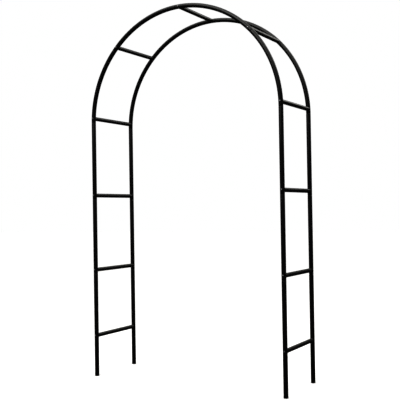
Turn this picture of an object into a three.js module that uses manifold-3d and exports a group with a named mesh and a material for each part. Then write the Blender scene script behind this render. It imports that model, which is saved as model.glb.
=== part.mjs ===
// Garden trellis arch: two tall hoops of black steel tube, held apart by rungs.
// Each hoop plugs together from ten tubes. The lower tube of every joint is swaged down to a spigot
// that slides into the plain end of the tube above it. One screw at each end of each rung passes
// through both tubes of the hoop and into the threaded plug in the rung's end, and locks them all.
// Millimetres, +Z up, X across the walkway, Y through it. The origin is on the ground at the centre.
import * as THREE from "three";
import { mergeVertices } from "three/addons/utils/BufferGeometryUtils.js";
import Module from "manifold-3d";

const wasm = await Module();
wasm.setup();

// ---- Driving dimensions ----
const HEIGHT = 2400; // ground to the top of the hoops
const SPAN = 1372; // left leg to right leg, between tube centres: 1.4 m overall
const DEPTH = 430; // front hoop to back hoop, between tube centres
const HOOP_R = 14; // outside radius of the hoop tube
const RUNG_R = 13; // outside radius of the rung tube
const WALL = 1; // wall of both tubes
const GAP = 0.3; // between pieces that touch

// ---- Hoop layout, as lengths along the tube's centre line from the foot ----
const BEND_R = SPAN / 2; // the top of the hoop is a half circle
const SPRING = HEIGHT - HOOP_R - BEND_R; // height where the bend starts
const LOWEST_RUNG = 270; // height of the rung that passes through the lowest leg tube
const LOWER_JOINT = 710;
const UPPER_JOINT = 1210;
const SEAM_BELOW = 28; // from a joint's seam up to its screw
const ARC_STEP = (BEND_R * Math.PI) / 4; // an eighth of a full circle, between the upper joints
const JOINTS = {
  legLower: LOWER_JOINT,
  legUpper: UPPER_JOINT,
  spring: SPRING + SEAM_BELOW, // the first bent tube starts where the bend does
  haunch: SPRING + ARC_STEP,
  crown: SPRING + 2 * ARC_STEP,
};

// ---- Push-fit joints ----
const BORE_R = HOOP_R - WALL;
const SPIGOT_R = BORE_R - GAP;
const SPIGOT_BORE_R = SPIGOT_R - WALL;
const SPIGOT_ABOVE = 12; // from the screw up to the spigot's tip
const NECK = 2.5; // length of the cone between tube and spigot
const TIP_CHAMFER = 1; // along the spigot or the screw, at its tip
const TIP_TAPER = 0.5; // taken off the spigot's radius at its tip

// ---- Rungs and their screws ----
const SADDLE_R = HOOP_R + 0.5; // hollows a rung's end to fit round the hoop
const SADDLE_LENGTH = 60; // the saddle cutter is longer than a rung is wide
const PLUG_LENGTH = 22; // threaded plug in each end of a rung
const THREAD_R = 3.3; // bore of the plug, which stands for its thread
const SCREW_R = 3;
const SCREW_HOLE_R = 3.5; // through both walls of the hoop tube
const SCREW_HOLE_REACH = 27; // each way from the hoop's centre line
const HEAD_R = 6;
const HEAD_HEIGHT = 3.8;
const HEAD_RIM = 1.3; // height of the head's straight edge
const HEAD_CROWN_R = 3.7; // flat top of the domed head
const SOCKET_R = 2.2; // drive recess in the head
const SOCKET_DEPTH = 2;
const SCREW_REACH = 17; // into the rung's end

// ---- Foot caps ----
const CAP_FLOOR = 3;
const CAP_DEPTH = 24;
const CAP_BORE_R = 9.5;

// ---- Facets ----
const TUBE_SIDES = 12;
const SADDLE_SIDES = 24;
const SMALL_SIDES = 8;
const BEND_STEPS = 5; // equal straight facets in one bent tube, between its joints
const MERGE_TOLERANCE = 1e-4;

const paint = new THREE.MeshStandardMaterial({ color: 0x0b0b0c, roughness: 0.42, metalness: 0.1 });
const screwSteel = new THREE.MeshStandardMaterial({ color: 0x3a3a3d, roughness: 0.35, metalness: 0.9 });
const capPlastic = new THREE.MeshStandardMaterial({ color: 0x101010, roughness: 0.7, metalness: 0 });

// ---- Solids ----

// A closed geometry as a manifold-3d solid.
function solid(geometry) {
  const bare = geometry.clone();
  bare.deleteAttribute("normal");
  bare.deleteAttribute("uv");
  const merged = mergeVertices(bare, MERGE_TOLERANCE);
  return new wasm.Manifold(
    new wasm.Mesh({
      numProp: 3,
      vertProperties: merged.attributes.position.array,
      triVerts: new Uint32Array(merged.index.array),
    }),
  );
}

// A manifold-3d solid as a three.js geometry.
function geometryOf(manifold) {
  const mesh = manifold.getMesh();
  const geometry = new THREE.BufferGeometry();
  geometry.setAttribute("position", new THREE.BufferAttribute(mesh.vertProperties, 3));
  geometry.setIndex(new THREE.BufferAttribute(mesh.triVerts, 1));
  geometry.computeVertexNormals();
  return geometry;
}

// Turns a closed outline of [radius, height] points about the Z axis.
function turned(outline, sides) {
  const points = outline.map(([radius, height]) => new THREE.Vector2(radius, height));
  return new THREE.LatheGeometry(points, sides).rotateX(Math.PI / 2);
}

// A solid rod along Y, centred on (x, z), for cutting.
function rodAlongY(radius, fromY, toY, x, z, sides) {
  const rod = new THREE.CylinderGeometry(radius, radius, toY - fromY, sides);
  return solid(rod.translate(x, (fromY + toY) / 2, z));
}

// ---- The hoop's centre line ----

// The point and the outward direction of the left half's centre line, at a length from the foot.
function hoopAt(length) {
  const angle = Math.max(0, length - SPRING) / BEND_R;
  const outward = new THREE.Vector2(-Math.cos(angle), Math.sin(angle));
  const point = new THREE.Vector2(0, Math.min(length, SPRING)).addScaledVector(outward, BEND_R);
  return { point, outward };
}

// Bends a straight tube that stands on the Z axis, so that its axis follows the hoop's centre line.
function bentToHoop(geometry, planeY) {
  const position = geometry.attributes.position;
  for (let i = 0; i < position.count; i++) {
    const { point, outward } = hoopAt(position.getZ(i));
    const aside = -position.getX(i);
    position.setXYZ(
      i,
      point.x + outward.x * aside,
      planeY + position.getY(i),
      point.y + outward.y * aside,
    );
  }
  return geometry;
}

// Lengths between two ends at which a tube needs a ring of points: only where it bends.
// Both tubes of a joint have a ring at the screw and at the spigot's tip, so they bend alike there.
function bendStations(from, to) {
  const { spring, haunch, crown } = JOINTS;
  const stations = [crown, crown + SPIGOT_ABOVE];
  for (const [lower, upper] of [[spring, haunch], [haunch, crown]]) {
    const tip = lower + SPIGOT_ABOVE;
    const step = (upper - SPIGOT_ABOVE - tip) / BEND_STEPS;
    stations.push(lower);
    for (let i = 0; i <= BEND_STEPS; i++) stations.push(tip + i * step);
  }
  stations.sort((a, b) => a - b);
  return stations.filter((length) => length > from + NECK && length < to - NECK);
}

// One hoop tube, from its plain lower end up to its top end.
// With a spigot it ends in the swage that enters the next tube; without, it is plain at both ends.
function hoopTube({ from, to, screwAt, planeY, spigot }) {
  const shoulder = spigot ? to - GAP - NECK : to;
  const rings = [from, ...bendStations(from, shoulder), shoulder];
  const outline = rings.map((length) => [HOOP_R, length]);
  if (spigot) {
    const neckEnd = to - GAP;
    const tip = to + SEAM_BELOW + SPIGOT_ABOVE;
    const spigotRings = [neckEnd, ...bendStations(neckEnd, tip), tip - TIP_CHAMFER];
    outline.push(...spigotRings.map((length) => [SPIGOT_R, length]));
    outline.push([SPIGOT_R - TIP_TAPER, tip], [SPIGOT_BORE_R, tip]);
    outline.push(...spigotRings.reverse().slice(1).map((length) => [SPIGOT_BORE_R, length]));
  }
  outline.push(...rings.reverse().map((length) => [BORE_R, length]), [HOOP_R, from]);
  let tube = solid(bentToHoop(turned(outline, TUBE_SIDES), planeY));
  for (const length of screwAt) {
    const { point } = hoopAt(length);
    const front = planeY - SCREW_HOLE_REACH;
    const back = planeY + SCREW_HOLE_REACH;
    tube = tube.subtract(rodAlongY(SCREW_HOLE_R, front, back, point.x, point.y, SMALL_SIDES));
  }
  return geometryOf(tube);
}

// A rung at the origin, along Y: a tube with a threaded plug in each end, hollowed to a saddle
// that fits round a hoop tube standing along Z. The plugs are pressed in for good.
function rung() {
  const end = DEPTH / 2 - HOOP_R / 2; // past the deepest point of the saddle
  const plugInner = DEPTH / 2 - HOOP_R - PLUG_LENGTH;
  const boreR = RUNG_R - WALL;
  const outline = [
    [RUNG_R, -end],
    [RUNG_R, end],
    [THREAD_R, end],
    [THREAD_R, plugInner],
    [boreR, plugInner],
    [boreR, -plugInner],
    [THREAD_R, -plugInner],
    [THREAD_R, -end],
    [RUNG_R, -end],
  ];
  let tube = solid(turned(outline, TUBE_SIDES).rotateX(-Math.PI / 2));
  for (const side of [-1, 1]) {
    const cutter = new THREE.CylinderGeometry(SADDLE_R, SADDLE_R, SADDLE_LENGTH, SADDLE_SIDES);
    cutter.rotateX(Math.PI / 2).translate(0, (side * DEPTH) / 2, 0);
    tube = tube.subtract(solid(cutter));
  }
  return geometryOf(tube);
}

// A pan-head screw along Y, its head towards -Y: the head's underside lies on the front hoop's face.
function screw() {
  const seat = DEPTH / 2 + HOOP_R + GAP;
  const top = seat + HEAD_HEIGHT;
  const tip = DEPTH / 2 - SADDLE_R - SCREW_REACH;
  const outline = [
    [0, tip],
    [SCREW_R - TIP_CHAMFER, tip],
    [SCREW_R, tip + TIP_CHAMFER],
    [SCREW_R, seat],
    [HEAD_R, seat],
    [HEAD_R, seat + HEAD_RIM],
    [HEAD_CROWN_R, top],
    [SOCKET_R, top],
    [SOCKET_R, top - SOCKET_DEPTH],
    [0, top - SOCKET_DEPTH],
  ];
  return turned(outline, SMALL_SIDES).rotateX(Math.PI / 2);
}

// A plastic cap: a flush disc under the tube's end, and a hollow plug up inside it.
function footCap() {
  const outline = [
    [0, 0],
    [HOOP_R, 0],
    [HOOP_R, CAP_FLOOR],
    [SPIGOT_R, CAP_FLOOR],
    [SPIGOT_R, CAP_DEPTH],
    [CAP_BORE_R, CAP_DEPTH],
    [CAP_BORE_R, CAP_FLOOR],
    [0, CAP_FLOOR],
  ];
  return turned(outline, TUBE_SIDES);
}

// ---- Assembly ----
const arch = new THREE.Group();

function place(parent, name, geometry, material) {
  const mesh = new THREE.Mesh(geometry, material);
  mesh.name = name;
  parent.add(mesh);
  return mesh;
}

// The left half of both hoops. The right half is the same half turned about the Z axis,
// which swaps front and back, so each hoop gets one crown spigot and one plain crown end.
function halfOfHoops(side) {
  const half = new THREE.Group();
  half.rotation.z = side === "left" ? 0 : Math.PI;
  for (const face of [-1, 1]) {
    const planeY = (face * DEPTH) / 2;
    const hoop = (face === -1) === (side === "left") ? "front" : "back";
    const named = (piece) => `${hoop}_${side}_${piece}`;
    const { legLower, legUpper, spring, haunch, crown } = JOINTS;
    const tubes = {
      leg_lower: { from: CAP_FLOOR + GAP, to: legLower - SEAM_BELOW, holes: [LOWEST_RUNG, legLower] },
      leg_middle: { from: legLower - SEAM_BELOW, to: legUpper - SEAM_BELOW, holes: [legLower, legUpper] },
      leg_upper: { from: legUpper - SEAM_BELOW, to: spring - SEAM_BELOW, holes: [legUpper, spring] },
      arc_lower: { from: spring - SEAM_BELOW, to: haunch - SEAM_BELOW, holes: [spring, haunch] },
      arc_upper: { from: haunch - SEAM_BELOW, to: crown - SEAM_BELOW, holes: [haunch, crown] },
    };
    for (const [piece, { from, to, holes }] of Object.entries(tubes)) {
      const plainCrown = piece === "arc_upper" && face === 1;
      const end = plainCrown ? crown + SEAM_BELOW : to;
      const geometry = hoopTube({ from, to: end, screwAt: holes, planeY, spigot: !plainCrown });
      place(half, named(piece), geometry, paint);
    }
    const cap = place(half, named("foot_cap"), footCap(), capPlastic);
    cap.position.set(-BEND_R, planeY, 0);
  }
  arch.add(half);
}

// A rung and its two screws, at a length along the left half's centre line.
function rungAt(name, length, side) {
  const { point, outward } = hoopAt(length);
  const group = new THREE.Group();
  group.position.set(side * point.x, 0, point.y);
  group.rotation.y = side * Math.atan2(outward.y, -outward.x);
  place(group, name, rung(), paint);
  place(group, `${name}_screw_front`, screw(), screwSteel);
  place(group, `${name}_screw_back`, screw(), screwSteel).rotation.z = Math.PI;
  arch.add(group);
}

for (const side of ["left", "right"]) {
  halfOfHoops(side);
  const mirror = side === "left" ? 1 : -1;
  rungAt(`${side}_rung_1`, LOWEST_RUNG, mirror);
  rungAt(`${side}_rung_2`, JOINTS.legLower, mirror);
  rungAt(`${side}_rung_3`, JOINTS.legUpper, mirror);
  rungAt(`${side}_rung_4`, JOINTS.spring, mirror);
  rungAt(`${side}_rung_5`, JOINTS.haunch, mirror);
}
rungAt("crown_rung", JOINTS.crown, 1);

export default arch;
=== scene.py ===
# %% [markdown]
# # A garden trellis arch in black steel tube
# The arch is two tall hoops, one in front of the other, held apart by eleven rungs. Each hoop
# plugs together from ten tubes. The lower tube of a joint is squeezed down to a spigot, which
# slides into the plain end of the tube above it, and a screw through both tubes runs on into the
# end of a rung. The frame that is loaded here fixes every size and place. What is added is the
# surface: round tube, rolled necks, coped rung ends, threads, moulded caps and a powder coat.

# %% Load the frame
import math

import bmesh
import bpy
from mathutils import Matrix, Vector


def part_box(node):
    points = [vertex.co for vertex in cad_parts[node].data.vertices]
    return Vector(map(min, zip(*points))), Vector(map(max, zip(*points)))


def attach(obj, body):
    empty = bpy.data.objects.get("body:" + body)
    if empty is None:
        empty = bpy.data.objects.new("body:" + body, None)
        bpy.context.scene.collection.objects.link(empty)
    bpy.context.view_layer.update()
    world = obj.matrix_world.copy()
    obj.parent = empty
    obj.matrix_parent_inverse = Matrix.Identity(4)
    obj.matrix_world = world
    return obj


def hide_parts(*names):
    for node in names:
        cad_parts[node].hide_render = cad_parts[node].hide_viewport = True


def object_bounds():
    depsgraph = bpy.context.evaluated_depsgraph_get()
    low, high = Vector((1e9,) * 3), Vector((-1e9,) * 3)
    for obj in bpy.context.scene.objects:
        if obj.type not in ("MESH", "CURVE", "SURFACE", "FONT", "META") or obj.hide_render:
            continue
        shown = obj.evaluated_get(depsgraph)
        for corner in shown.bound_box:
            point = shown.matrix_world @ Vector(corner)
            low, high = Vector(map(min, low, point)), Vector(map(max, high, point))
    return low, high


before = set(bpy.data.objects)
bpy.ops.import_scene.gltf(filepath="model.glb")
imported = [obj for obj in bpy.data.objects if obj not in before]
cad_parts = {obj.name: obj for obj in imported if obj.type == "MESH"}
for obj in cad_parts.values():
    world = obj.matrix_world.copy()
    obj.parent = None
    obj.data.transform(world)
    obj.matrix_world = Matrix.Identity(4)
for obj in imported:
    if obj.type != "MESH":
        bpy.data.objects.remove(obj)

cad_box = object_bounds()
print("frame holds", len(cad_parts), "nodes, box", [tuple(round(v, 4) for v in c) for c in cad_box])

# %% [markdown]
# ## Measures taken from the frame
# A maker of such an arch works from one drawing of the hoop: a straight leg, then a half circle.
# The same few numbers are read back here from the boxes of the frame's own parts, so that each new
# piece lands on the part it stands for without any fitting. A place on a hoop is given as a length
# along the tube's centre line from the ground, because that is how tube is marked out on a bench.

# %% Read the hoop's measures
MM_PER_M = 1000

cap_low, cap_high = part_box("front_left_foot_cap")
TUBE_R = (cap_high.x - cap_low.x) / 2
LEG_X = -(cap_low.x + cap_high.x) / 2
HOOP_Y = -(cap_low.y + cap_high.y) / 2
CAP_TOP = cap_high.z
BEND_R = LEG_X
SPRING = cad_box[1].z - TUBE_R - BEND_R
EIGHTH = BEND_R * math.pi / 4


def middle_height(node):
    """The height of the middle of a node."""
    low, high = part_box(node)
    return (low.z + high.z) / 2


def length_at(height):
    """The length along a hoop's centre line, from the ground, at which it reaches a height."""
    rise = max(0, height - SPRING)
    return min(height, SPRING) + BEND_R * math.asin(rise / BEND_R)


LOWEST_RUNG, LEG_JOINT_1, LEG_JOINT_2, SPRING_JOINT = [
    length_at(middle_height(f"left_rung_{number}")) for number in (1, 2, 3, 4)
]
HAUNCH_JOINT = SPRING + EIGHTH
CROWN_JOINT = SPRING + 2 * EIGHTH
LEG_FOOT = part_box("front_left_leg_lower")[0].z
SEAM_BELOW = LEG_JOINT_1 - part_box("front_left_leg_middle")[0].z
SPIGOT_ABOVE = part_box("front_left_leg_lower")[1].z - LEG_JOINT_1
print("tube radius", round(TUBE_R * MM_PER_M, 2), "mm, bend starts at", round(SPRING, 4), "m")
JOINTS = (LEG_JOINT_1, LEG_JOINT_2, SPRING_JOINT, HAUNCH_JOINT, CROWN_JOINT)
print("joints along the tube", [round(length, 3) for length in JOINTS])

# %% [markdown]
# ## The camera
# The camera comes first, so that every later piece can be looked at from the side that matters.
# It stands to the right of the middle at about chest height, looks very slightly up and is tilted
# by about one degree, as a camera held in the hand is. A 67 mm lens keeps the hoops close in size.

# %% Place the camera
LENS_MM = 67.19
SENSOR_MM = 36
CAMERA_AZIMUTH = math.radians(29.89)
CAMERA_ELEVATION = math.radians(-0.86)
CAMERA_ROLL = math.radians(-0.91)
CAMERA_DISTANCE = 4.873
CAMERA_TARGET = Vector((0.0078, 0, 1.1658))

bpy.ops.object.select_all(action="DESELECT")
backward = Vector((
    math.sin(CAMERA_AZIMUTH) * math.cos(CAMERA_ELEVATION),
    -math.cos(CAMERA_AZIMUTH) * math.cos(CAMERA_ELEVATION),
    math.sin(CAMERA_ELEVATION),
))
bpy.ops.object.camera_add(location=CAMERA_TARGET + CAMERA_DISTANCE * backward)
camera = bpy.context.object
camera.name = "camera"
camera.data.lens = LENS_MM
camera.data.sensor_width = SENSOR_MM
facing = backward.to_track_quat("Z", "Y").to_matrix()
camera.rotation_euler = (facing @ Matrix.Rotation(CAMERA_ROLL, 3, "Z")).to_euler()
bpy.context.scene.camera = camera
print("camera at", [round(v, 3) for v in camera.location])

# %% [markdown]
# ## Working habits
# Operators act on whatever is selected, and the frame's nodes are all selected after loading. Each
# piece therefore starts from an empty selection. Tube is drawn the way it is made: one ring, carried
# along and resized. The tools below are the small jobs that come back for every piece: select it,
# start a ring, apply a modifier, cut with a closed shape, round the edges, shade, check and copy.

# %% Tools for shaping
TUBE_SIDES = 64
SHARP = math.radians(32)
CM3_PER_M3 = 1e6


def only(piece):
    """Selects one piece and nothing else."""
    bpy.ops.object.select_all(action="DESELECT")
    piece.select_set(True)
    bpy.context.view_layer.objects.active = piece


def start_ring(name, radius, centre=(0, 0, 0), sides=TUBE_SIDES):
    """Adds a level ring and opens it for editing, all selected."""
    bpy.ops.object.select_all(action="DESELECT")
    bpy.ops.mesh.primitive_circle_add(vertices=sides, radius=radius, fill_type="NOTHING", location=centre)
    ring = bpy.context.object
    ring.name = name
    bpy.ops.object.transform_apply(location=True, rotation=True, scale=True)
    bpy.ops.object.mode_set(mode="EDIT")
    bpy.ops.mesh.select_all(action="SELECT")
    return ring


def use(piece, kind, **settings):
    """Adds a modifier to a piece and applies it."""
    only(piece)
    modifier = piece.modifiers.new(kind.lower(), kind)
    for setting, value in settings.items():
        setattr(modifier, setting, value)
    bpy.ops.object.modifier_apply(modifier=modifier.name)


def cut(piece, cutter):
    """Cuts a closed shape out of a piece. The shape is then thrown away."""
    use(piece, "BOOLEAN", object=cutter, operation="DIFFERENCE", solver="MANIFOLD")
    bpy.data.objects.remove(cutter)


def soften(piece, width, segments=2):
    """Rounds the sharp edges of a piece."""
    use(piece, "BEVEL", width=width, segments=segments, limit_method="ANGLE", angle_limit=SHARP)


def smooth(piece):
    """Shades a piece smooth up to its sharp edges."""
    only(piece)
    bpy.ops.object.shade_smooth_by_angle(angle=SHARP)


def report_on(piece):
    """Prints how large a piece is; no open edges and a volume above zero mean closed and outward."""
    mesh = bmesh.new()
    mesh.from_mesh(piece.data)
    open_edges = sum(1 for edge in mesh.edges if len(edge.link_faces) != 2)
    triangles = sum(len(face.verts) - 2 for face in mesh.faces)
    volume = mesh.calc_volume(signed=True) * CM3_PER_M3
    print(f"{piece.name}: {triangles} triangles, {open_edges} open edges, {volume:.2f} cm3")
    mesh.free()


def copied(piece, name, location=(0, 0, 0), turn=(0, 0, 0)):
    """A copy of a piece with its own mesh, which takes up first the turn and then the move."""
    only(piece)
    bpy.ops.object.duplicate()
    copy = bpy.context.object
    copy.name = name
    copy.location = location
    copy.rotation_euler = turn
    bpy.ops.object.transform_apply(location=True, rotation=True, scale=True)
    return copy


def discard(piece):
    """Throws a piece away."""
    bpy.data.objects.remove(piece)


# %% [markdown]
# The lathe tool draws a solid of revolution from a list of stations, each a radius and a height. An
# end is closed with a flat face, or the last ring is bridged back to the first, which makes a tube
# wall. Stations on a round stretch come from a formula, so that the list has only what it needs.

# %% A lathe
def lathe(name, stations, sides=TUBE_SIDES, tube=False):
    """Draws a ring through stations of (radius, height), standing on the Z axis."""
    radius, height = stations[0]
    piece = start_ring(name, radius, (0, 0, height), sides)
    if not tube:
        bpy.ops.mesh.edge_face_add()
    for next_radius, next_height in stations[1:]:
        bpy.ops.mesh.extrude_region_move(TRANSFORM_OT_translate={"value": (0, 0, next_height - height)})
        grow = next_radius / radius
        bpy.ops.transform.resize(value=(grow, grow, grow), center_override=(0, 0, next_height))
        radius, height = next_radius, next_height
    if tube:
        bpy.ops.mesh.select_all(action="DESELECT")
        shape = bmesh.from_edit_mesh(piece.data)
        for edge in [edge for edge in shape.edges if len(edge.link_faces) == 1]:
            edge.select_set(True)
        bpy.ops.mesh.bridge_edge_loops()
    bpy.ops.mesh.select_all(action="SELECT")
    bpy.ops.mesh.normals_make_consistent(inside=False)
    bpy.ops.object.mode_set(mode="OBJECT")
    return piece


# %% [markdown]
# ## The hoop tubes
# A hoop starts as straight lengths of welded steel tube with a wall of one millimetre. Four of the
# tubes of each hoop are rolled to about an eighth of a circle. The top end of a tube is swaged:
# pressed into a die until it is thin enough to slide into the next tube. Only the two halves of the
# crown differ, because one of them has to stay plain to take the other. The die leaves a short neck
# in the shape of a soft S, and that neck with the open edge above it is what shows as a seam.
# A tube could be a curve with a bevel, but a curve has one radius and no wall. Here a ring is
# carried along the hoop, by a straight extrude on the leg and by Spin round the bend, and resized
# at the neck. Solidify then gives the wall, which follows the neck as the real one does. The screw
# holes are drilled through both walls last, with an extra ring near each to keep the faces neat.

# %% A ring carried along the hoop
WALL = 0.001
BEND_STEP = math.radians(1)
HOLE_MARGIN = 0.008
MERGE_DISTANCE = 1e-6


def hoop_point(length):
    """The front left half's centre line, at a length along it from the ground."""
    angle = max(0, length - SPRING) / BEND_R
    return Vector((-BEND_R * math.cos(angle), -HOOP_Y, min(length, SPRING) + BEND_R * math.sin(angle)))


def carry(start, end):
    """Extrudes the selected ring along the hoop, up the leg and round the bend."""
    if start < SPRING:
        bpy.ops.mesh.extrude_region_move(TRANSFORM_OT_translate={"value": (0, 0, min(end, SPRING) - start)})
    if end > SPRING:
        turn = (end - max(start, SPRING)) / BEND_R
        steps = math.ceil(turn / BEND_STEP)
        bpy.ops.mesh.spin(steps=steps, angle=turn, center=(0, -HOOP_Y, SPRING), axis=(0, -1, 0))


def carry_past(start, end, screws):
    """Carries the ring on, with one extra ring on each side of every screw in the straight leg."""
    stops = [length + side * HOLE_MARGIN for length in screws for side in (-1, 1)]
    stops = [stop for stop in sorted(stops) if start < stop < min(end, SPRING)]
    for stop in stops + [end]:
        carry(start, stop)
        start = stop


# %% The swaged end
NECK = 0.0025
NECK_STEPS = 6
SEAM_GAP = 0.0003
SPIGOT_R = TUBE_R - WALL - SEAM_GAP
TIP_LENGTH = 0.001
TIP_TAPER = 0.0005


def shrink(length, radius, new_radius):
    """Resizes the selected ring about the centre line."""
    factor = new_radius / radius
    bpy.ops.transform.resize(value=(factor, factor, factor), center_override=hoop_point(length))


def swage(shoulder, tip, screws):
    """Draws the neck from the shoulder, then the spigot up to its tapered tip."""
    at, radius = shoulder, TUBE_R
    for step in range(1, NECK_STEPS + 1):
        share = step / NECK_STEPS
        new_radius = TUBE_R - (TUBE_R - SPIGOT_R) * (1 - math.cos(math.pi * share)) / 2
        carry(at, shoulder + NECK * share)
        at = shoulder + NECK * share
        shrink(at, radius, new_radius)
        radius = new_radius
    carry_past(at, tip - TIP_LENGTH, screws)
    carry(tip - TIP_LENGTH, tip)
    shrink(tip, SPIGOT_R, SPIGOT_R - TIP_TAPER)


# %% One hoop tube
SCREW_HOLE_R = 0.0035
HOLE_SIDES = 32
HOLE_REACH = 4 * TUBE_R
LIP = 0.00025


def drill(piece, place):
    """A screw hole through both walls of a hoop tube, along Y."""
    bpy.ops.object.select_all(action="DESELECT")
    bpy.ops.mesh.primitive_cylinder_add(
        vertices=HOLE_SIDES, radius=SCREW_HOLE_R, depth=HOLE_REACH,
        location=place, rotation=(math.pi / 2, 0, 0),
    )
    cut(piece, bpy.context.object)


def hoop_tube(name, start, end, screws, swaged=True):
    """One tube of the front left half hoop, from its plain lower end to its top end."""
    onward = max(0, start - SPRING)  # a tube that starts on the bend is drawn at the bend's foot
    drawn = start if onward == 0 else SPRING
    top = end - onward
    near = [length - onward for length in screws]
    piece = start_ring(name, TUBE_R, hoop_point(drawn))
    if swaged:
        shoulder = top - SEAM_GAP - NECK
        carry_past(drawn, shoulder, near)
        swage(shoulder, top + SEAM_BELOW + SPIGOT_ABOVE, near)
    else:
        carry_past(drawn, top, near)
    bpy.ops.mesh.select_all(action="SELECT")
    bpy.ops.mesh.remove_doubles(threshold=MERGE_DISTANCE)
    bpy.ops.mesh.normals_make_consistent(inside=False)
    bpy.ops.object.mode_set(mode="OBJECT")
    use(piece, "SOLIDIFY", thickness=WALL, offset=-1, use_even_offset=True)
    soften(piece, LIP)
    if onward:
        turn = onward / BEND_R
        centre = Vector((0, -HOOP_Y, SPRING))
        only(piece)
        piece.rotation_euler = (0, turn, 0)
        piece.location = centre - Matrix.Rotation(turn, 3, "Y") @ centre
        bpy.ops.object.transform_apply(location=True, rotation=True, scale=True)
    for length in screws:
        drill(piece, hoop_point(length))
    smooth(piece)
    report_on(piece)
    return piece


# %% The five tubes of a half hoop
SEAMS = [joint - SEAM_BELOW for joint in JOINTS]
master_tubes = {
    "leg_lower": hoop_tube("leg_lower", LEG_FOOT, SEAMS[0], (LOWEST_RUNG, LEG_JOINT_1)),
    "leg_middle": hoop_tube("leg_middle", SEAMS[0], SEAMS[1], (LEG_JOINT_1, LEG_JOINT_2)),
    "leg_upper": hoop_tube("leg_upper", SEAMS[1], SEAMS[2], (LEG_JOINT_2, SPRING_JOINT)),
    "arc_lower": hoop_tube("arc_lower", SEAMS[2], SEAMS[3], (SPRING_JOINT, HAUNCH_JOINT)),
    "arc_upper": hoop_tube("arc_upper", SEAMS[3], SEAMS[4], (HAUNCH_JOINT, CROWN_JOINT)),
}
plain_crown = hoop_tube(
    "plain_crown", SEAMS[3], CROWN_JOINT + SEAM_BELOW, (HAUNCH_JOINT, CROWN_JOINT), swaged=False
)

# %% [markdown]
# ## The rungs
# A rung is a slightly thinner tube. Each end is coped: cut to a saddle, so that it wraps a little
# way round the hoop and can't twist. A threaded plug is pressed into each end and stays there. On
# the lathe the section is drawn once round its wall, out over the plug and back along the bore, and
# its two ends are bridged. A cylinder of the hoop's own radius, plus a hair for the paint, cuts the
# saddle.

# %% One rung
RUNG_R = (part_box("left_rung_2")[1].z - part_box("left_rung_2")[0].z) / 2
PLUG_LENGTH = 0.022
THREAD_BORE_R = 0.0033
SADDLE_GAP = 0.0002
SADDLE_SIDES = 128
SADDLE_REACH = 6 * RUNG_R
COPE_LIP = 0.0002

rung_end = HOOP_Y - TUBE_R / 2
plug_inner = HOOP_Y - TUBE_R - PLUG_LENGTH
rung_bore = RUNG_R - WALL
master_rung = lathe("rung", [
    (RUNG_R, -rung_end),
    (RUNG_R, rung_end),
    (THREAD_BORE_R, rung_end),
    (THREAD_BORE_R, plug_inner),
    (rung_bore, plug_inner),
    (rung_bore, -plug_inner),
    (THREAD_BORE_R, -plug_inner),
    (THREAD_BORE_R, -rung_end),
], tube=True)
for end in (-1, 1):
    bpy.ops.object.select_all(action="DESELECT")
    bpy.ops.mesh.primitive_cylinder_add(
        vertices=SADDLE_SIDES, radius=TUBE_R + SADDLE_GAP, depth=SADDLE_REACH,
        location=(0, 0, end * HOOP_Y), rotation=(math.pi / 2, 0, 0),
    )
    cut(master_rung, bpy.context.object)
soften(master_rung, COPE_LIP, segments=1)
smooth(master_rung)
report_on(master_rung)

# %% [markdown]
# ## The screws
# Each rung end takes one pan-head machine screw. Its head is domed, with a cross recess that guides
# a screwdriver. The dome is a quarter of an ellipse in the lathe's stations, and the recess is cut
# with two tapered blades at right angles. The far end of the shank, which bites in the rung's plug,
# has a thread. It is turned as separate rings of the thread's own pitch and depth, because a true
# helix would look almost the same and is never seen once the screw is in.

# %% The screw's head and shank
screw_low, screw_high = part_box("left_rung_2_screw_front")
HEAD_R = (screw_high.z - screw_low.z) / 2
HEAD_TOP = -screw_low.y
HEAD_SEAT = HOOP_Y + TUBE_R + SEAM_GAP
HEAD_HEIGHT = HEAD_TOP - HEAD_SEAT
SCREW_TIP = -screw_high.y
SHANK_R = 0.003
POINT = 0.001
THREAD_PITCH = 0.001
THREAD_DEPTH = 0.0004
THREAD_TURNS = 14
HEAD_RIM = 0.0009
UNDERCUT = 0.0002
DOME_STEPS = 10
DOME_FLAT = 0.0022
SCREW_SIDES = 48

stations = [(SHANK_R - POINT, SCREW_TIP)]
for number in range(THREAD_TURNS):
    root = SCREW_TIP + POINT + number * THREAD_PITCH
    stations += [(SHANK_R - THREAD_DEPTH, root), (SHANK_R, root + THREAD_PITCH / 2)]
stations += [
    (SHANK_R, HEAD_SEAT),
    (HEAD_R - UNDERCUT, HEAD_SEAT),
    (HEAD_R, HEAD_SEAT + UNDERCUT),
    (HEAD_R, HEAD_SEAT + HEAD_RIM),
]
for step in range(1, DOME_STEPS + 1):
    angle = math.pi / 2 * step / DOME_STEPS
    radius = DOME_FLAT + (HEAD_R - DOME_FLAT) * math.cos(angle)
    stations.append((radius, HEAD_SEAT + HEAD_RIM + (HEAD_HEIGHT - HEAD_RIM) * math.sin(angle)))
master_screw = lathe("screw", stations, SCREW_SIDES)

# %% [markdown]
# The recess is two blades, each a cube stretched to the blade's width and narrowed towards its
# bottom, which is the shape that a cross-point driver leaves in the head when it is punched.

# %% The cross recess
RECESS_SPAN = 0.0062
RECESS_WIDTH = 0.0013
RECESS_DEPTH = 0.0021
RECESS_TAPER = 0.55
FACES_DOWN = -0.5

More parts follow.
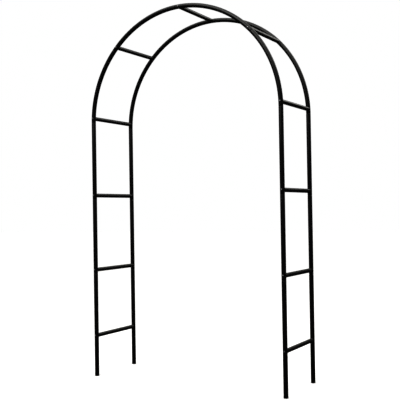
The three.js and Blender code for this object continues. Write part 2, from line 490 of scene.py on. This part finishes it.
for quarter in (0, 1):
    bpy.ops.object.select_all(action="DESELECT")
    bpy.ops.mesh.primitive_cube_add(size=1, location=(0, 0, HEAD_TOP), rotation=(0, 0, quarter * math.pi / 2))
    blade = bpy.context.object
    blade.scale = (RECESS_SPAN, RECESS_WIDTH, 2 * RECESS_DEPTH)
    bpy.ops.object.transform_apply(location=True, rotation=True, scale=True)
    bpy.ops.object.mode_set(mode="EDIT")
    bpy.ops.mesh.select_all(action="DESELECT")
    shape = bmesh.from_edit_mesh(blade.data)
    for face in [face for face in shape.faces if face.normal.z < FACES_DOWN]:
        face.select_set(True)
    bpy.ops.transform.resize(
        value=(RECESS_TAPER, RECESS_TAPER, 1), center_override=(0, 0, HEAD_TOP - RECESS_DEPTH)
    )
    bpy.ops.object.mode_set(mode="OBJECT")
    cut(master_screw, blade)
smooth(master_screw)
report_on(master_screw)

# %% [markdown]
# ## The foot caps
# The open end of each leg is closed by a moulded cap, so that it doesn't cut into the ground or
# fill with water. Only a thin disc with a rounded rim shows. Above it, inside the tube, ring-shaped
# ribs hold it in the bore. The gate where the plastic was injected leaves a small dimple in the
# middle of the underside. The whole cap is turned on the lathe, from the dimple out, up and back
# down inside.

# %% One foot cap
CAP_FLOOR = 0.003
CAP_RIM = 0.0014
CAP_ROUND_STEPS = 6
CAP_CORE_R = 0.0115
CAP_RIB_R = SPIGOT_R
CAP_RIBS = 4
CAP_RIB_PITCH = 0.0045
CAP_RIB_START = 0.005
CAP_RIB_SLOPE = 0.0008
CAP_RIB_FLAT = 0.0008
CAP_BORE_R = 0.0095
CAP_TIP = 0.001
CAP_TIP_TAPER = 0.0008
GATE_FLOOR_R = 0.00072
GATE_SIDE_R = 0.0012
GATE_MOUTH_R = 0.00168
GATE_DEPTH = 0.0004

stations = [(GATE_FLOOR_R, GATE_DEPTH), (GATE_SIDE_R, GATE_DEPTH / 2), (GATE_MOUTH_R, 0)]
for step in range(CAP_ROUND_STEPS + 1):
    angle = math.pi / 2 * step / CAP_ROUND_STEPS
    stations.append((TUBE_R - CAP_RIM + CAP_RIM * math.sin(angle), CAP_RIM - CAP_RIM * math.cos(angle)))
stations += [(TUBE_R, CAP_FLOOR), (CAP_CORE_R, CAP_FLOOR)]
for rib in range(CAP_RIBS):
    foot = CAP_RIB_START + rib * CAP_RIB_PITCH
    stations += [
        (CAP_CORE_R, foot),
        (CAP_RIB_R, foot + CAP_RIB_SLOPE),
        (CAP_RIB_R, foot + CAP_RIB_SLOPE + CAP_RIB_FLAT),
        (CAP_CORE_R, foot + 2 * CAP_RIB_SLOPE + CAP_RIB_FLAT),
    ]
stations += [
    (CAP_CORE_R, CAP_TOP - CAP_TIP),
    (CAP_CORE_R - CAP_TIP_TAPER, CAP_TOP),
    (CAP_BORE_R, CAP_TOP),
    (CAP_BORE_R, CAP_FLOOR),
]
master_cap = lathe("foot_cap", stations)
smooth(master_cap)
report_on(master_cap)

# %% [markdown]
# ## Finishes that more than one material shares
# Real surfaces are uneven in a few ways that repeat from one material to the next: a skin texture,
# edges that are rubbed, dust that lies on what faces the sky (which also carries a painted top sheen,
# the grey that light from above puts on the tops), and broad patches that are a little shinier or
# duller. Each is a node group that is built once. A group puts out only a height or a mask, and each
# material decides what to do with it.

# %% A small way to write node groups
def new_group(name, inputs, output):
    """A shader node group with float or vector inputs and one float output."""
    tree = bpy.data.node_groups.new(name, "ShaderNodeTree")
    for label, kind, value in inputs:
        socket = tree.interface.new_socket(label, in_out="INPUT", socket_type=kind)
        if value is not None:
            socket.default_value = value
    tree.interface.new_socket(output, in_out="OUTPUT", socket_type="NodeSocketFloat")
    return tree, tree.nodes.new("NodeGroupInput"), tree.nodes.new("NodeGroupOutput")


def maths(tree, operation, first, second, clamp=False):
    """A Math node; each operand is a socket or a number."""
    node = tree.nodes.new("ShaderNodeMath")
    node.operation = operation
    node.use_clamp = clamp
    for slot, operand in zip(node.inputs, (first, second)):
        if isinstance(operand, (int, float)):
            slot.default_value = operand
        else:
            tree.links.new(operand, slot)
    return node.outputs[0]


def noise(tree, position, scale, detail, roughness=0.5):
    """A noise value; scale is a socket or a number, in features per metre."""
    node = tree.nodes.new("ShaderNodeTexNoise")
    tree.links.new(position, node.inputs["Vector"])
    if isinstance(scale, (int, float)):
        node.inputs["Scale"].default_value = scale
    else:
        tree.links.new(scale, node.inputs["Scale"])
    node.inputs["Detail"].default_value = detail
    node.inputs["Roughness"].default_value = roughness
    return node.outputs["Fac"]


POSITION = ("Position", "NodeSocketVector", None)

# %% [markdown]
# **Skin texture.** Powder melts into a skin with soft dimples about two millimetres across, called
# orange peel, and a much finer grain on top. Two noises, one five times finer, give both.

# %% Skin texture
FINE_GRAIN = 5
FINE_SHARE = 0.25
SKIN_DETAIL = 1.0

tree, given, result = new_group("skin_texture", [POSITION, ("Size", "NodeSocketFloat", 0.002)], "Height")
per_metre = maths(tree, "DIVIDE", 1.0, given.outputs["Size"])
dimples = noise(tree, given.outputs["Position"], per_metre, detail=SKIN_DETAIL)
finer = maths(tree, "MULTIPLY", per_metre, FINE_GRAIN)
grain = noise(tree, given.outputs["Position"], finer, detail=SKIN_DETAIL)
height = maths(tree, "ADD", dimples, maths(tree, "MULTIPLY", grain, FINE_SHARE))
tree.links.new(height, result.inputs["Height"])
skin_texture = tree

# %% [markdown]
# **Rubbed edges.** The Bevel node gives the normal that a rounded edge would have. Where it differs
# from the true normal, there is an edge. A noise breaks the line up, since no edge wears evenly.

# %% Rubbed edges
BEVEL_SAMPLES = 4
EDGE_GAIN = 6.0
WEAR_SCALE = 180.0
WEAR_DETAIL = 3.0

tree, given, result = new_group("rubbed_edges", [POSITION, ("Radius", "NodeSocketFloat", 0.0006)], "Worn")
rounded = tree.nodes.new("ShaderNodeBevel")
rounded.samples = BEVEL_SAMPLES
tree.links.new(given.outputs["Radius"], rounded.inputs["Radius"])
surface = tree.nodes.new("ShaderNodeNewGeometry")
agreement = tree.nodes.new("ShaderNodeVectorMath")
agreement.operation = "DOT_PRODUCT"
tree.links.new(rounded.outputs["Normal"], agreement.inputs[0])
tree.links.new(surface.outputs["Normal"], agreement.inputs[1])
difference = maths(tree, "SUBTRACT", 1.0, agreement.outputs["Value"])
edge = maths(tree, "MULTIPLY", difference, EDGE_GAIN, clamp=True)
uneven = noise(tree, given.outputs["Position"], WEAR_SCALE, detail=WEAR_DETAIL)
broken = maths(tree, "MULTIPLY", edge, uneven, clamp=True)
tree.links.new(broken, result.inputs["Worn"])
rubbed_edges = tree

# %% [markdown]
# ** Settled dust and a painted top sheen.** Outdoors a thin film of dust and pollen lies on every surface
# that faces up, and none on the sides. The same lighter colour on the tops also stands for the grey sheen
# that light from above puts there, so this mask is partly real dust and partly painted highlight. The
# upward share of the normal is the mask, made patchy by a noise.

# %% Settled dust and painted top sheen
DUST_SHEEN_FOCUS = 1.6
DUST_SHEEN_SCALE = 35.0
DUST_SHEEN_DETAIL = 4.0
DUST_SHEEN_LEAST = 0.3

tree, given, result = new_group("dust_and_top_sheen", [POSITION, ("Amount", "NodeSocketFloat", 0.5)], "DustAndSheen")
surface = tree.nodes.new("ShaderNodeNewGeometry")
parts = tree.nodes.new("ShaderNodeSeparateXYZ")
tree.links.new(surface.outputs["Normal"], parts.inputs["Vector"])
# Upward faces get the lighter colour: partly real dust, partly a painted top sheen standing in for light from
# above.
upward = maths(tree, "POWER", maths(tree, "MAXIMUM", parts.outputs["Z"], 0.0), DUST_SHEEN_FOCUS)
patches = noise(tree, given.outputs["Position"], DUST_SHEEN_SCALE, detail=DUST_SHEEN_DETAIL)
patchy = maths(tree, "ADD", patches, DUST_SHEEN_LEAST)
dust_sheen_amount = maths(tree, "MULTIPLY", maths(tree, "MULTIPLY", upward, patchy), given.outputs["Amount"], clamp=True)
tree.links.new(dust_sheen_amount, result.inputs["DustAndSheen"])
dust_and_top_sheen = tree

# %% [markdown]
# **Broad patches.** A coat is thicker here and thinner there, and hands have polished some of it.
# One slow noise with a long wavelength makes roughness and colour drift along each tube.

# %% Broad patches
DRIFT_DETAIL = 3.0
DRIFT_ROUGHNESS = 0.55

tree, given, result = new_group("broad_patches", [POSITION, ("Scale", "NodeSocketFloat", 9.0)], "Drift")
drift = noise(
    tree, given.outputs["Position"], given.outputs["Scale"], detail=DRIFT_DETAIL, roughness=DRIFT_ROUGHNESS
)
tree.links.new(drift, result.inputs["Drift"])
broad_patches = tree
print("node groups:", [g.name for g in bpy.data.node_groups])

# %% [markdown]
# ## The three materials
# All three are built the same way, so one function lays out the nodes: a base colour that drifts,
# dust over it, which also paints in the sheen of light from above on upward faces, worn edges over
# that, a roughness that follows the same masks, and a skin texture that feeds Bump. The Principled
# shader stays in the material, with its constants on its sockets.

# %% How a material is laid out
DUST_DULLS = 0.25
MIX_COLOURS = (6, 7)  # a Mix node's two colour inputs come after its number and vector inputs
MIX_RESULT = 2


def blend_colours(tree, mask, first, second):
    """Mixes two colours by a mask; each is a colour or a socket."""
    node = tree.nodes.new("ShaderNodeMix")
    node.data_type = "RGBA"
    tree.links.new(mask, node.inputs["Factor"])
    for number, colour in zip(MIX_COLOURS, (first, second)):
        slot = node.inputs[number]
        if isinstance(colour, tuple):
            slot.default_value = (*colour, 1)
        else:
            tree.links.new(colour, slot)
    return node.outputs[MIX_RESULT]


def between(tree, mask, low, high):
    """A number from low to high as the mask goes from 0 to 1."""
    return maths(tree, "ADD", maths(tree, "MULTIPLY", mask, high - low), low)


def effect(tree, position, group, **values):
    """Places a shared group in a material and returns its output."""
    node = tree.nodes.new("ShaderNodeGroup")
    node.node_tree = group
    tree.links.new(position, node.inputs["Position"])
    for label, value in values.items():
        node.inputs[label].default_value = value
    return node.outputs[0]


def finish(name, dark, light, dust_sheen_colour, worn, dust_sheen_amount, roughness, skin, specular, metallic=0.0):
    """A material: two base tones, dust and painted top sheen, worn edges, a roughness range, a skin texture.
    """
    material = bpy.data.materials.new(name)
    material.use_nodes = True
    tree = material.node_tree
    shader = tree.nodes["Principled BSDF"]
    position = tree.nodes.new("ShaderNodeTexCoord").outputs["Object"]
    drift = effect(tree, position, broad_patches)
    dust_sheen_mask = effect(tree, position, dust_and_top_sheen, Amount=dust_sheen_amount)
    edges = effect(tree, position, rubbed_edges)
    colour = blend_colours(tree, drift, dark, light)
    # Upward faces turn towards the dusty colour: real dust, and a painted sheen of light from above.
    colour = blend_colours(tree, dust_sheen_mask, colour, dust_sheen_colour)
    colour = blend_colours(tree, edges, colour, worn)
    tree.links.new(colour, shader.inputs["Base Color"])
    gloss = between(tree, drift, *roughness)
    gloss = maths(tree, "ADD", gloss, maths(tree, "MULTIPLY", dust_sheen_mask, DUST_DULLS), clamp=True)
    tree.links.new(gloss, shader.inputs["Roughness"])
    bump = tree.nodes.new("ShaderNodeBump")
    size, depth = skin
    bump.inputs["Distance"].default_value = depth
    tree.links.new(effect(tree, position, skin_texture, Size=size), bump.inputs["Height"])
    tree.links.new(bump.outputs["Normal"], shader.inputs["Normal"])
    shader.inputs["Metallic"].default_value = metallic
    shader.inputs["Specular IOR Level"].default_value = specular
    return material


# %% The black powder coat, the plated screws and the moulded plastic
# On the powder coat the dusty colour on upward faces is partly dust and partly a painted top sheen: it turns
# the tops of the bends grey, as light from above would.
powder_coat = finish(
    "powder_coat", dark=(0.004, 0.004, 0.0042), light=(0.007, 0.007, 0.0072), dust_sheen_colour=(0.075, 0.074, 0.062),
    worn=(0.030, 0.030, 0.031), dust_sheen_amount=0.35, roughness=(0.28, 0.40), skin=(0.0022, 0.00005), specular=0.5,
)
plated_steel = finish(
    "plated_steel", dark=(0.24, 0.24, 0.25), light=(0.34, 0.34, 0.35), dust_sheen_colour=(0.20, 0.19, 0.17),
    worn=(0.45, 0.45, 0.46), dust_sheen_amount=0.2, roughness=(0.38, 0.50), skin=(0.0005, 0.000008), specular=0.5,
    metallic=1.0,
)
moulded_plastic = finish(
    "moulded_plastic", dark=(0.010, 0.010, 0.010), light=(0.016, 0.016, 0.016), dust_sheen_colour=(0.07, 0.068, 0.058),
    worn=(0.035, 0.035, 0.035), dust_sheen_amount=0.2, roughness=(0.55, 0.68), skin=(0.0006, 0.00002), specular=0.4,
)
print("materials:", [m.name for m in (powder_coat, plated_steel, moulded_plastic)])

# %% [markdown]
# ## Assembly
# Every master was drawn at the front left. The back left half is the same half moved back, and the
# right half is the whole left half turned by half a turn about the upright axis, which swaps front
# and back. Two of the four crown tubes stay plain, so that the others slide into them. Each copy
# has a mesh of its own, stands for one node of the frame and rides on its body.

# %% Fit each piece to its node
BODY = "root"


def fit(piece, node):
    """Makes a piece stand for one node of the frame."""
    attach(piece, BODY)
    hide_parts(node)


def coat(piece, material):
    """Gives a piece one material all over; a cutter may have left an empty slot behind."""
    piece.data.materials.clear()
    piece.data.materials.append(material)
    piece.data.polygons.foreach_set("material_index", [0] * len(piece.data.polygons))


for master in [*master_tubes.values(), plain_crown, master_rung]:
    coat(master, powder_coat)
coat(master_screw, plated_steel)
coat(master_cap, moulded_plastic)

# %% The hoops
BETWEEN_HOOPS = 2 * HOOP_Y
IN_PLACE = (0, 0, 0)
UNTURNED = (0, 0, 0)
HALF_TURN = (0, 0, math.pi)
HALVES = (  # each half hoop's move, which comes after its turn
    ("front_left", IN_PLACE, UNTURNED),
    ("back_right", IN_PLACE, HALF_TURN),
    ("back_left", (0, BETWEEN_HOOPS, 0), UNTURNED),
    ("front_right", (0, -BETWEEN_HOOPS, 0), HALF_TURN),
)
PLAIN_CROWNS = ("back_left_arc_upper", "front_right_arc_upper")


def named(node):
    """The name of the piece that stands for a node."""
    return node + "_made"


for tube_name, tube in master_tubes.items():
    for half, move, turn in HALVES:
        node = f"{half}_{tube_name}"
        master = plain_crown if node in PLAIN_CROWNS else tube
        fit(copied(master, named(node), move, turn), node)
print("hoop tubes placed:", len(HALVES) * len(master_tubes))

# %% The foot caps
for hoop, along in (("front", -HOOP_Y), ("back", HOOP_Y)):
    for side, across in (("left", -LEG_X), ("right", LEG_X)):
        node = f"{hoop}_{side}_foot_cap"
        fit(copied(master_cap, named(node), location=(across, along, 0)), node)

# %% [markdown]
# A rung lies along Y. It is first laid down from the lathe's upright axis, then turned about Y until
# its saddles match the hoop at that point, and then moved there. Its screws take the same turn.

# %% The rungs and their screws
LAID_DOWN = Matrix.Rotation(-math.pi / 2, 4, "X")
HEAD_TO_FRONT = Matrix.Rotation(math.pi / 2, 4, "X")


def set_in(master, name, pose):
    """A copy of a master whose mesh is carried by a pose."""
    piece = copied(master, name)
    piece.data.transform(pose)
    piece.data.update()
    return piece


def set_rung(node, length, side):
    """A rung and its two screws, at a length along the left or the right half hoop."""
    angle = max(0, length - SPRING) / BEND_R
    place = hoop_point(length)
    seat = Matrix.Translation((side * -place.x, 0, place.z)) @ Matrix.Rotation(-side * angle, 4, "Y")
    fit(set_in(master_rung, named(node), seat @ LAID_DOWN), node)
    for end, facing in (("front", HEAD_TO_FRONT), ("back", LAID_DOWN)):
        screw_node = f"{node}_screw_{end}"
        fit(set_in(master_screw, named(screw_node), seat @ facing), screw_node)


for side_name, side in (("left", -1), ("right", 1)):
    for number, length in enumerate((LOWEST_RUNG, LEG_JOINT_1, LEG_JOINT_2, SPRING_JOINT, HAUNCH_JOINT), 1):
        set_rung(f"{side_name}_rung_{number}", length, side)
set_rung("crown_rung", CROWN_JOINT, 1)
for master in [*master_tubes.values(), plain_crown, master_rung, master_screw, master_cap]:
    discard(master)

# %% [markdown]
# ## The stage
# A plain pale floor and soft light, as for a catalogue picture. One very wide sun overhead acts as a
# bright ceiling: it lights the top of every bend and leaves the legs dark. Two weak panels, one in
# front and one behind, put the grey line on the bends and rungs. The surroundings are white to the
# camera and dim to everything else, so that satin black stays black. The floor is kept out of
# reflections and bounced light for the same reason. A view gamma below one gives the picture the
# contrast of a print, so that the white behind a thin black tube doesn't eat into its edges.

# %% Floor and light
FLOOR_SIZE = 60
FLOOR_COLOUR = (0.95, 0.95, 0.95, 1)
CEILING_HEIGHT = 4
CEILING_COLOUR = (1.0, 0.995, 0.98)
CEILING_STRENGTH = 3.4
CEILING_SPREAD = math.radians(110)

bpy.ops.object.select_all(action="DESELECT")
bpy.ops.mesh.primitive_plane_add(size=FLOOR_SIZE, location=(0, 0, 0))
floor = bpy.context.object
floor.name = "floor"
floor.visible_glossy = False
floor.visible_diffuse = False
pale = bpy.data.materials.new("pale_floor")
pale.use_nodes = True
matt = pale.node_tree.nodes["Principled BSDF"]
matt.inputs["Base Color"].default_value = FLOOR_COLOUR
matt.inputs["Roughness"].default_value = 1.0
matt.inputs["Specular IOR Level"].default_value = 0.0
floor.data.materials.append(pale)

bpy.ops.object.light_add(type="SUN", location=(0, 0, CEILING_HEIGHT))
ceiling = bpy.context.object
ceiling.name = "soft_ceiling"
ceiling.data.energy = CEILING_STRENGTH
ceiling.data.angle = CEILING_SPREAD
ceiling.data.color = CEILING_COLOUR

# %% The two panels and the surroundings
PANEL_AIM = Vector((0, 0, 2.15))
PANEL_SIZE = 2.0
PANEL_COLOUR = (1.0, 0.99, 0.95)
WHITE = (1, 1, 1, 1)
SURROUND = 0.03
VIEW_GAMMA = 0.7


def light_panel(name, place, power):
    """A square soft light that faces the top of the arch."""
    bpy.ops.object.light_add(type="AREA", location=place)
    panel = bpy.context.object
    panel.name = name
    panel.rotation_euler = (Vector(place) - PANEL_AIM).to_track_quat("Z", "Y").to_euler()
    panel.data.size = PANEL_SIZE
    panel.data.energy = power
    panel.data.color = PANEL_COLOUR


light_panel("front_panel", place=(-0.4, -2.6, 3.7), power=48)
light_panel("back_panel", place=(1.6, 2.6, 3.6), power=35)

world = bpy.data.worlds.new("surroundings")
bpy.context.scene.world = world
world.use_nodes = True
sky = world.node_tree
dim = sky.nodes["Background"]
dim.inputs["Color"].default_value = WHITE
dim.inputs["Strength"].default_value = SURROUND
white = sky.nodes.new("ShaderNodeBackground")
white.inputs["Color"].default_value = WHITE
choice = sky.nodes.new("ShaderNodeMixShader")
sky.links.new(sky.nodes.new("ShaderNodeLightPath").outputs["Is Camera Ray"], choice.inputs["Fac"])
sky.links.new(dim.outputs[0], choice.inputs[1])
sky.links.new(white.outputs[0], choice.inputs[2])
sky.links.new(choice.outputs[0], sky.nodes["World Output"].inputs["Surface"])
bpy.context.scene.view_settings.view_transform = "Standard"
bpy.context.scene.view_settings.gamma = VIEW_GAMMA
